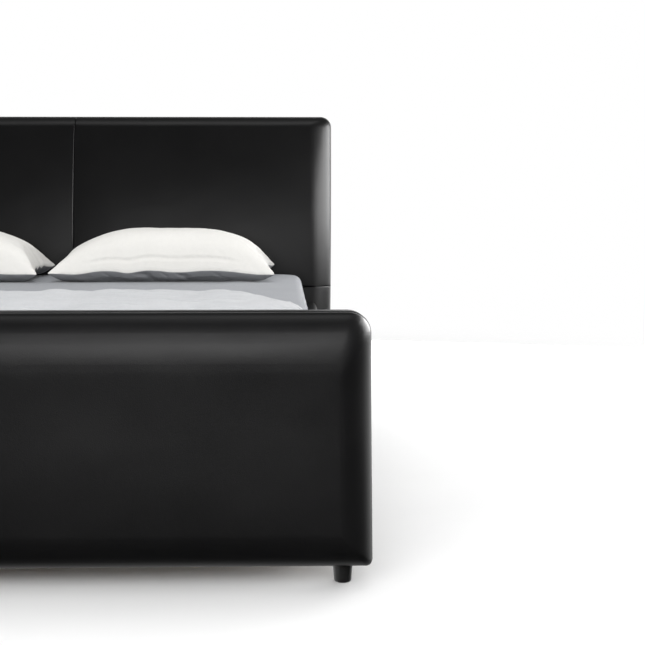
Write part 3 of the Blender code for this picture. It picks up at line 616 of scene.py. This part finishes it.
def makeRail(word, side):
    # a padded leather jacket down the rail's outer side and over its top, fitted to the footboard's curve
    s = railSettings
    step = s["inner"] + s["core"] + 0.0003
    inwardTop = s["top"] - s["pad"]
    piece = addBlock("fine_rail_cover_" + word, (step, middleY - s["half"], s["bottom"]),
                     (s["outer"], middleY + s["half"], s["top"]))
    editMode(piece)
    sliceAll((inwardTop,), (0, 0, 1))
    pick(piece, "FACE", lambda f: f.normal.x < -0.9 and f.calc_center_median().z > inwardTop)
    bpy.ops.mesh.extrude_region_move(TRANSFORM_OT_translate={"value": (s["inner"] - step, 0, 0)})

    def runs(edge, x, z):
        return all(abs(v.co.x - x) < 1e-4 and abs(v.co.z - z) < 1e-4 for v in edge.verts)

    pick(piece, "EDGE", lambda e: runs(e, s["outer"], s["top"]))
    bpy.ops.mesh.bevel(offset=s["round"], segments=8, affect="EDGES")
    pick(piece, "EDGE", lambda e: runs(e, s["inner"], s["top"]))
    bpy.ops.mesh.bevel(offset=s["round"] / 3, segments=4, affect="EDGES")
    pick(piece, "EDGE", lambda e: runs(e, s["outer"], s["bottom"]))
    bpy.ops.mesh.bevel(offset=0.006, segments=4, affect="EDGES")
    sliceAll(np.arange(middleY - 0.98, middleY + 1.0, 0.04), (0, 1, 0))
    sliceAll(np.arange(s["bottom"] + 0.03, s["top"] - 0.02, 0.03), (0, 0, 1))
    objectMode()
    points = readPoints(piece)
    atFoot = points[:, 1] < middleY - s["half"] + 1e-4
    points[:, 1] -= np.where(atFoot, boardLean(boardSettings["foot"], points[:, 2]), 0)
    outer = points[:, 0] > s["outer"] - 1e-4
    slack = softNoise(points * (0, 1, 1), 8.0, 2.2)
    free = ease(0.0, 0.12, s["half"] - np.abs(points[:, 1] - middleY))
    points[:, 0] += np.where(outer, free * (0.0014 + slack * 0.0012), 0)
    points[:, 0] *= side
    writePoints(piece, points)
    outwards(piece)
    smooth(piece, 40)
    piece.data.materials.append(leather)
    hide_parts("rail_cover_" + word)
    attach(piece, "bed_frame")


makeRail("left", -1)
makeRail("right", 1)
print("rails dressed")

# ---- feet ----
footSettings = {"topRadius": 0.0205, "lowRadius": 0.0175, "edge": 0.006, "height": 0.0427}


def makeFoot(node):
    # a tapered turned foot with a rounded lower edge and a shallow glide
    low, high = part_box(node)
    s = footSettings
    place = ((low.x + high.x) / 2, (low.y + high.y) / 2)
    bpy.ops.object.select_all(action="DESELECT")
    bpy.ops.mesh.primitive_cylinder_add(vertices=64, radius=s["topRadius"], depth=s["height"],
                                        location=(*place, s["height"] / 2))
    piece = startPiece("turned_" + node)
    editMode(piece)
    pick(piece, "VERT", lambda v: v.co.z < 0.001)
    share = s["lowRadius"] / s["topRadius"]
    bpy.ops.transform.resize(value=(share, share, 1), center_override=(*place, 0))
    pick(piece, "EDGE", lambda e: all(v.co.z < 0.001 for v in e.verts))
    bpy.ops.mesh.bevel(offset=s["edge"], segments=6, affect="EDGES")
    pick(piece, "EDGE", lambda e: all(v.co.z > s["height"] - 0.001 for v in e.verts))
    bpy.ops.mesh.bevel(offset=0.0012, segments=3, affect="EDGES")
    pick(piece, "FACE", lambda f: f.normal.z < -0.99 and f.calc_center_median().z < 0.001)
    bpy.ops.mesh.inset(thickness=0.0025)
    bpy.ops.mesh.extrude_region_move(TRANSFORM_OT_translate={"value": (0, 0, 0.0012)})
    sliceAll(np.arange(0.008, s["height"] - 0.003, 0.006), (0, 0, 1))
    objectMode()
    outwards(piece)
    smooth(piece, 40)
    piece.data.materials.append(lacquer)
    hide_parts(node)
    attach(piece, "bed_frame")


for board in ("headboard", "footboard"):
    for word in ("left", "right"):
        makeFoot(f"{board}_foot_{word}")

# ---- finishes of the frame's own parts ----
nodeFinishes = (
    ("slat_ledge", pineLong), ("slat", pineWide), ("rail_core", pineLong), ("centre_beam", pineLong),
    ("headboard_post", pineTall), ("footboard_post", pineTall), ("headboard_bottom_rail", pineWide),
    ("headboard_seam_rail", pineWide), ("headboard_top_rail", pineWide), ("footboard_bottom_rail", pineWide),
    ("footboard_top_rail", pineWide), ("headboard_ply", plywood), ("footboard_ply", plywood),
    ("corner_bracket", blackSteel), ("beam_hanger", blackSteel), ("bolt", zincSteel),
    ("centre_leg", blackSteel), ("levelling_foot", rubber),
)
for name, node in nodes.items():
    for start, finish in nodeFinishes:
        if name.startswith(start):
            node.data.materials.clear()
            node.data.materials.append(finish)
            break


# ---- cloth ----
def inflate(piece, voxel, pressure, cap, frames=20):
    # remeshes a closed shape, swells it under pressure and keeps every point within cap of its start
    selectOnly(piece)
    remesh = piece.modifiers.new("evenMesh", "REMESH")
    remesh.mode = "VOXEL"
    remesh.voxel_size = voxel
    applyModifiers(piece)
    before = readPoints(piece)
    cloth = piece.modifiers.new("stuffing", "CLOTH")
    cloth.settings.quality = 4
    cloth.settings.mass = 0.3
    cloth.settings.tension_stiffness = 12
    cloth.settings.compression_stiffness = 12
    cloth.settings.bending_stiffness = 0.4
    cloth.settings.use_pressure = True
    cloth.settings.uniform_pressure_force = pressure
    cloth.settings.effector_weights.gravity = 0
    cloth.point_cache.frame_start = 1
    cloth.point_cache.frame_end = frames
    scene = bpy.context.scene
    for number in range(1, frames + 1):
        scene.frame_set(number)
    swollen = piece.evaluated_get(bpy.context.evaluated_depsgraph_get()).to_mesh()
    after = np.empty(len(swollen.vertices) * 3)
    swollen.vertices.foreach_get("co", after)
    piece.modifiers.remove(cloth)
    scene.frame_set(1)
    moved = after.reshape(-1, 3) - before
    length = np.linalg.norm(moved, axis=1, keepdims=True)
    moved *= np.minimum(1, cap / np.maximum(length, 1e-9))
    writePoints(piece, before + moved)


def finishCloth(piece, levels=1):
    subdivision = piece.modifiers.new("fine", "SUBSURF")
    subdivision.levels = levels
    subdivision.render_levels = levels
    applyModifiers(piece)
    smooth(piece, 180)


# ---- mattress and fitted sheet ----
mattressSettings = {"corner": 0.07, "edge": 0.025, "gap": 0.0003, "sheet": 0.0015, "hem": 0.03}


def makeMattress():
    s = mattressSettings
    piece = addBlock("soft_mattress", mattressLow, mattressHigh)
    editMode(piece)
    pick(piece, "EDGE", lambda e: abs(e.verts[0].co.z - e.verts[1].co.z) > 0.1)
    bpy.ops.mesh.bevel(offset=s["corner"], segments=10, affect="EDGES")
    pick(piece, "EDGE", lambda e: abs(e.verts[0].co.z - e.verts[1].co.z) < 1e-4)
    bpy.ops.mesh.bevel(offset=s["edge"], segments=6, affect="EDGES")
    sliceAll(np.arange(-0.72, 0.73, 0.06), (1, 0, 0))
    sliceAll(np.arange(middleY - 0.96, middleY + 0.97, 0.06), (0, 1, 0))
    objectMode()
    outwards(piece)
    smooth(piece, 50)
    piece.data.materials.append(ticking)
    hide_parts("mattress")
    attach(piece, "mattress")


def makeSheet():
    # the stretched sheet: the mattress's own skin, with soft pulls towards its corners
    s = mattressSettings
    grow = s["gap"]
    low = (mattressLow.x - grow, mattressLow.y - grow, mattressLow.z - 0.05)
    high = (mattressHigh.x + grow, mattressHigh.y + grow, mattressHigh.z + grow)
    piece = addBlock("fine_fitted_sheet", low, high)
    editMode(piece)
    pick(piece, "EDGE", lambda e: abs(e.verts[0].co.z - e.verts[1].co.z) > 0.1)
    bpy.ops.mesh.bevel(offset=s["corner"] + grow, segments=10, affect="EDGES")
    top = high[2]
    pick(piece, "EDGE", lambda e: all(abs(v.co.z - top) < 1e-4 for v in e.verts))
    bpy.ops.mesh.bevel(offset=s["edge"] + grow, segments=8, affect="EDGES")
    hem = mattressLow.z + s["hem"]
    bpy.ops.mesh.select_all(action="SELECT")
    bpy.ops.mesh.bisect(plane_co=(0, 0, hem), plane_no=(0, 0, 1), clear_inner=True)
    sliceAll(np.arange(-0.75, 0.76, 0.02), (1, 0, 0))
    sliceAll(np.arange(middleY - 1.0, middleY + 1.01, 0.02), (0, 1, 0))
    sliceAll(np.arange(hem + 0.02, top - 0.02, 0.02), (0, 0, 1))
    objectMode()
    points = readPoints(piece)
    flat = ease(top - 0.02, top, points[:, 2])
    fromEnd = np.minimum(high[0] - np.abs(points[:, 0]), high[1] - middleY - np.abs(points[:, 1] - middleY))
    turned = points * (1, 1, 0)
    turned[:, 1] *= 0.35
    ripple = np.clip(softNoise(turned, 9.0, 4.4), 0, 1) * 0.0045 * (0.35 + 0.65 * ease(0.5, 0.02, fromEnd))
    points[:, 2] += flat * (ripple + 0.0006)
    drop = 1 - flat
    out = points[:, :2] - (0, middleY)
    out /= np.linalg.norm(out, axis=1, keepdims=True)
    ribs = np.clip(softNoise(points * (1, 1, 0.12), 30.0, 9.7), 0, 1) * 0.0016
    points[:, :2] += out * (drop * ribs)[:, None]
    writePoints(piece, points)
    solidify = piece.modifiers.new("thickness", "SOLIDIFY")
    solidify.thickness = s["sheet"]
    solidify.offset = 1
    applyModifiers(piece)
    outwards(piece)
    smooth(piece, 60)
    piece.data.materials.append(sheetCotton)
    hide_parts("fitted_sheet")
    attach(piece, "mattress")
    width = high[0] - low[0] + 2 * (top - hem) - 2 * 0.43 * s["edge"]
    length = high[1] - low[1] + 2 * (top - hem) - 2 * 0.43 * s["edge"]
    width * length - 4 * (top - hem) ** 2 * 0.95


makeMattress()
makeSheet()
print("mattress and sheet made")

# ---- quilt ----
quiltSettings = {"gap": 0.0015, "thick": 0.0105, "hem": 0.42, "rightPull": 0.85, "leftPull": 0.16,
                 "cell": 0.0155, "boxes": 0.305, "boxStart": (0.16, -0.06), "stitch": 0.0066}


def makeQuilt():
    # a soft quilt over the mattress, turned down at its sides, its head edge sweeping away at the right
    s = quiltSettings
    low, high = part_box("quilt")
    top = mattressHigh.z + 0.0018 + s["gap"]
    halfX = mattressHigh.x + 0.0018 + s["gap"]
    edge = mattressSettings["edge"] + 0.004
    quarter = math.pi / 2 * edge
    flatHalf = halfX - edge
    drop = top - edge - s["hem"]
    reach = flatHalf + quarter + drop  # half the quilt's width as cut
    start, end = low.y + 0.004, high.y - 0.004
    bpy.ops.object.select_all(action="DESELECT")
    bpy.ops.mesh.primitive_grid_add(size=1, x_subdivisions=int(2 * reach / s["cell"]),
                                    y_subdivisions=int((end - start) / s["cell"]))
    piece = bpy.context.object
    piece.scale = (2 * reach, end - start, 1)
    piece.location = (0, (start + end) / 2, 0)
    piece = startPiece("soft_quilt")
    flat = readPoints(piece)
    across, along = flat[:, 0].copy(), flat[:, 1].copy()
    # the head edge: straight, then swept far back towards the right side and less at the left
    right = np.clip((across - 0.50) / 0.29, 0, 1.08) ** 2.0
    left = np.clip((-across - 0.52) / 0.28, 0, 1.2) ** 2
    sweep = s["rightPull"] * right + s["leftPull"] * left
    wander = 0.010 * softNoise(np.stack([across, across * 0, across * 0], axis=1), 4.0, 1.5)
    share = (along - start) / (end - start)
    along = start + share * (end - start - sweep * ease(0.0, 1.0, share) + wander * share)
    # long soft folds, mostly running across the bed, with a few that lean
    field = np.stack([across * 1.1, along * 3.4, along * 0], axis=1)
    folds = softNoise(field, 2.3, 6.1) + 0.55 * softNoise(field * (1.6, 1.8, 1), 3.1, 2.7)
    leanField = np.stack([across + along * 0.7, (along - across * 0.5) * 3.0, along * 0], axis=1)
    folds += 0.7 * np.abs(softNoise(leanField, 3.0, 9.2))
    small = softNoise(field * (2.5, 2.5, 1), 6.0, 5.5)
    ridges = 1 - np.abs(softNoise(field * (1.3, 1.0, 1), 4.2, 12.3)) * 4
    puff = 0.0095 + 0.0125 * folds + 0.0040 * small + 0.0055 * np.clip(ridges, 0, 1)
    for value, first in ((across, s["boxStart"][0]), (along, s["boxStart"][1])):
        apart = np.abs((value - first + s["boxes"] / 2) % s["boxes"] - s["boxes"] / 2)
        puff += s["stitch"] * (ease(0.0, 0.075, apart) - 1.0) + 0.0022 * ease(0.012, 0.0, apart)
    rim = np.minimum(share * (end - start), (1 - share) * (end - start - sweep))
    puff = np.clip(puff, 0.0, 0.023) * (0.10 + 0.90 * ease(0.0, 0.16, rim))
    out = np.abs(across) - flatHalf
    turn = np.clip(out / quarter, 0, 1) * math.pi / 2
    hang = np.clip(out - quarter, 0, None)
    lift = edge + puff
    x = np.sign(across) * (np.minimum(np.abs(across), flatHalf) + lift * np.sin(turn))
    z = (top - edge) + lift * np.cos(turn) - hang
    side = np.where(turn >= math.pi / 2 - 1e-6, 1.0, 0.0)
    hangRipple = 0.004 * softNoise(np.stack([along * 2.0, hang, hang * 0], axis=1), 7.0, 3.3) * side
    x += np.sign(across) * np.clip(hangRipple, -puff, 0.004)
    x = np.clip(x, -(halfX + 0.012), halfX + 0.012)
    writePoints(piece, np.stack([x, along, z], axis=1))
    outwards(piece)
    selectOnly(piece)
    if sum(p.normal.z * p.area for p in piece.data.polygons) < 0:
        editMode(piece)
        bpy.ops.mesh.select_all(action="SELECT")
        bpy.ops.mesh.flip_normals()
        objectMode()
    solidify = piece.modifiers.new("thickness", "SOLIDIFY")
    solidify.thickness = s["thick"]
    solidify.offset = 1
    finishCloth(piece, 1)
    piece.data.materials.append(quiltCotton)
    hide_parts("quilt")
    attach(piece, "quilt")


makeQuilt()
print("quilt made")

# ---- pillows ----
pillowSettings = {
    "width": 0.715, "depth": 0.43, "rise": 0.128, "belly": 0.034, "seamHalf": 0.004, "pinch": 0.07,
    "voxel": 0.007, "pressure": 4.0, "cap": 0.010,
}


def makePillow(node, seed):
    s = pillowSettings
    low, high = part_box(node)
    middle = Vector(((low.x + high.x) / 2, (low.y + high.y) / 2, low.z + s["seamHalf"] + s["belly"]))
    bpy.ops.object.select_all(action="DESELECT")
    bpy.ops.mesh.primitive_cube_add(size=2)
    piece = startPiece("soft_" + node)
    editMode(piece)
    bpy.ops.mesh.select_all(action="SELECT")
    bpy.ops.mesh.subdivide(number_cuts=31)
    objectMode()
    cube = readPoints(piece)
    u, v, t = cube[:, 0], cube[:, 1], cube[:, 2]
    power = np.where(u > 0, 3.2, 2.6)
    root = np.where(u > 0, 0.72, 0.80)
    plump = np.clip(1 - np.abs(u) ** power, 0, 1) ** root * np.clip(1 - np.abs(v) ** 3, 0, 1) ** 0.62
    under = np.clip(1 - np.abs(u) ** 3.2, 0, 1) ** 0.75 * np.clip(1 - v**4, 0, 1) ** 0.3
    lumps = 0.05 * softNoise(cube * (1, 1, 0), 1.7, seed)
    x = s["width"] / 2 * u * (1 - s["pinch"] * (1 - v**2))
    y = s["depth"] / 2 * 0.99 * v * (1 - s["pinch"] * (1 - u**2))
    z = np.where(t > 0, s["rise"] * 0.87 * plump * (1 + lumps) * t, s["belly"] * 0.94 * under * t)
    z += t * s["seamHalf"]
    writePoints(piece, np.stack([x, y, z], axis=1))
    inflate(piece, s["voxel"], s["pressure"], s["cap"])
    finishCloth(piece, 1)
    points = readPoints(piece)
    halfX, halfY = s["width"] / 2, s["depth"] / 2
    u, v = points[:, 0] / halfX, points[:, 1] / halfY
    rim = np.clip(np.maximum(np.abs(u), np.abs(v)), 0, 1)
    # gathers that run in from the seam, strongest at the corners
    angle = np.arctan2(v, u)
    around = np.stack([np.cos(angle) * 3, np.sin(angle) * 3, rim * 0.6], axis=1)
    gather = softNoise(around, 3.2, seed) + 0.6 * softNoise(around, 7.5, seed + 3)
    corner = ease(0.75, 1.15, np.hypot(u, v))
    top = points[:, 2] > 0
    depthIn = ease(0.62, 0.96, rim) * (0.45 + 0.8 * corner)
    points[:, 2] += np.where(top, gather * 0.0042, gather * 0.0030) * depthIn
    # slanting creases on the side that faces the bed's foot, and one long crease above the seam
    height = points[:, 2] / s["belly"]
    slant = np.stack([points[:, 0] * 1.0 + points[:, 2] * 1.4, points[:, 2] * 0.3, points[:, 2] * 0], axis=1)
    crease = np.clip(softNoise(slant, 26.0, seed + 2) - 0.12, 0, 1)
    below = ease(0.0, -0.35, height) * ease(1.0, 0.4, np.abs(u))
    points[:, 1] += np.where(v < 0, 1, -1) * below * crease * 0.026
    line = 0.034 + 0.006 * np.sin(points[:, 0] * 9 + seed)
    groove = ease(0.010, 0.0, np.abs(points[:, 2] - line)) * ease(0.75, 0.5, np.abs(u))
    points[:, 1] += np.where(v < -0.4, groove * 0.0035, 0)
    # soft dents over the crown
    field = points * (1, 1.6, 0)
    dent = softNoise(field, 5.0, seed + 7) + 0.5 * np.abs(softNoise(field * (1.4, 0.6, 0), 9.0, seed + 1))
    points[:, 2] += np.where(top, dent * 0.0046 * ease(1.0, 0.5, rim), 0)
    # the seam wanders up and down round the edge, and the front corners droop
    wave = 0.0085 * softNoise(around * (1, 1, 0), 1.9, seed + 5) - 0.003
    wave = (wave - 0.009 * ease(0.8, 1.2, np.hypot(u, v)) * (v < 0)) * ease(0.5, 1.0, rim)
    points[:, 2] += wave
    upper = points[:, 2] - wave
    points[:, 2] = np.maximum(points[:, 2], -(s["belly"] + s["seamHalf"]) + 0.0015)
    writePoints(piece, points + np.array(middle))
    attribute = piece.data.attributes.new("upper", "FLOAT", "POINT")
    attribute.data.foreach_set("value", upper.astype(np.float32))
    smooth(piece, 180)
    piece.data.materials.append(pillowCotton)
    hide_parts(node)
    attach(piece, node)


makePillow("pillow_right", 1.3)
makePillow("pillow_left", 4.9)
print("pillows made")

# ---- floor, backdrop and light ----
lightSettings = {
    "low": {"place": (0.42, -3.0, 0.98), "aim": (0.40, -1.1, 0.52), "size": (1.5, 0.74), "power": 20,
            "lights": False},
    "lowSoft": {"place": (0.30, -3.0, 0.05), "aim": (0.30, -1.1, 0.3), "size": (1.7, 0.75), "power": 1.2,
                "lights": False},
    "side": {"place": (2.3, 0.44, 1.2), "aim": (0.8, 0.44, 1.05), "size": (3.3, 1.15), "power": 140,
             "lights": False},
    "floorFront": {"place": (0.4, -3.6, 1.0), "aim": (0.3, -1.3, 0.0), "size": (3.0, 1.0), "power": 52,
                   "shines": False},
    "fill": {"place": (0.2, -4.6, 2.3), "aim": (0.1, -1.0, 0.0), "size": (4.5, 2.4), "power": 95,
             "shines": False},
    "rearLow": {"place": (1.9, 3.4, 0.32), "aim": (0.5, -1.2, 0.0), "size": (2.4, 0.5), "power": 100,
                "shines": False},
    "over": {"place": (0.3, 0.4, 4.2), "aim": (0, 0.2, 0), "size": (4.0, 4.0), "power": 58, "shines": False},
    "rightBack": {"place": (3.4, 2.4, 1.9), "aim": (0.5, 0, 0.2), "size": (1.8, 1.8), "power": 60,
                  "shines": False},
}


def addFloor():
    bpy.ops.object.select_all(action="DESELECT")
    bpy.ops.mesh.primitive_plane_add(size=60)
    floor = startPiece("studio_floor")
    finish = Finish("studio_floor")
    speck = finish.noise(3.0, 2.0, 0.5)
    shade = finish.mix(speck, (0.80, 0.80, 0.80), (0.83, 0.83, 0.83))
    material = finish.set(Base_Color=shade, Roughness=0.9, Specular_IOR_Level=0.1)
    away = finish.node("VectorMath", {"operation": "LENGTH"}, {0: finish.node("TexCoord", out=3)}, out=1)
    clear = finish.node("BsdfTransparent")
    fromBelow = finish.node("NewGeometry", out=6)  # clear as well when seen from under the bed
    far = finish.ramp(away, 1.7, 4.6)
    share = far + fromBelow - far * fromBelow
    faded = finish.node("MixShader", None, {0: share, 1: finish.body(), 2: clear})
    finish.put(finish.tree.nodes["Material Output"].inputs["Surface"], faded)
    floor.data.materials.append(material)
    floor.visible_glossy = False


def addLights():
    for name, s in lightSettings.items():
        data = bpy.data.lights.new(name, "AREA")
        data.shape = "RECTANGLE"
        data.size, data.size_y = s["size"]
        data.energy = s["power"]
        light = bpy.data.objects.new(name, data)
        light.location = s["place"]
        light.visible_camera = False
        light.visible_diffuse = s.get("lights", True)  # off for a light that only shines in the leather
        light.visible_glossy = s.get("shines", True)
        light.rotation_euler = (Vector(s["aim"]) - Vector(s["place"])).to_track_quat("-Z", "Y").to_euler()
        bpy.context.scene.collection.objects.link(light)


def addWorld():
    # white to the camera; leather mirrors light from behind, overhead and the left, and little else
    world = bpy.data.worlds.new("studio")
    bpy.context.scene.world = world
    world.use_nodes = True
    tree = world.node_tree
    back = tree.nodes["Background"]
    at = tree.nodes.new("ShaderNodeTexCoord")
    parts = tree.nodes.new("ShaderNodeSeparateXYZ")
    tree.links.new(at.outputs["Generated"], parts.inputs[0])
    x, y, z = (Wire(tree, parts.outputs[i]) for i in range(3))

    def rise(value, low, high):
        made = tree.nodes.new("ShaderNodeMapRange")
        made.interpolation_type = "SMOOTHSTEP"
        tree.links.new(value.socket, made.inputs["Value"])
        made.inputs["From Min"].default_value = low
        made.inputs["From Max"].default_value = high
        return Wire(tree, made.outputs[0])

    behind = rise(y, 0.1, 0.5)
    level = (1 - rise(z, 0.20, 0.42)) * behind * 1.4 + rise(z, 0.93, 0.985) * 1.6 + 0.095
    shine = level * rise(z, -0.3, -0.02) + behind * (1 - rise(z, -0.2, 0.1)) * 0.45
    shine = shine + rise(0 - x, 0.45, 0.85) * (1 - rise(z, 0.3, 0.6)) * 0.5
    path = tree.nodes.new("ShaderNodeLightPath")
    seen = Wire(tree, path.outputs["Is Camera Ray"])
    mirrored = Wire(tree, path.outputs["Is Glossy Ray"])
    strength = seen * 1.0 + (1 - seen) * (mirrored * shine + (1 - mirrored) * 0.62)
    back.inputs["Color"].default_value = (1, 1, 1, 1)
    tree.links.new(strength.socket, back.inputs["Strength"])


addFloor()
addLights()
addWorld()
bpy.context.scene.view_settings.view_transform = "Standard"
print("studio lit")
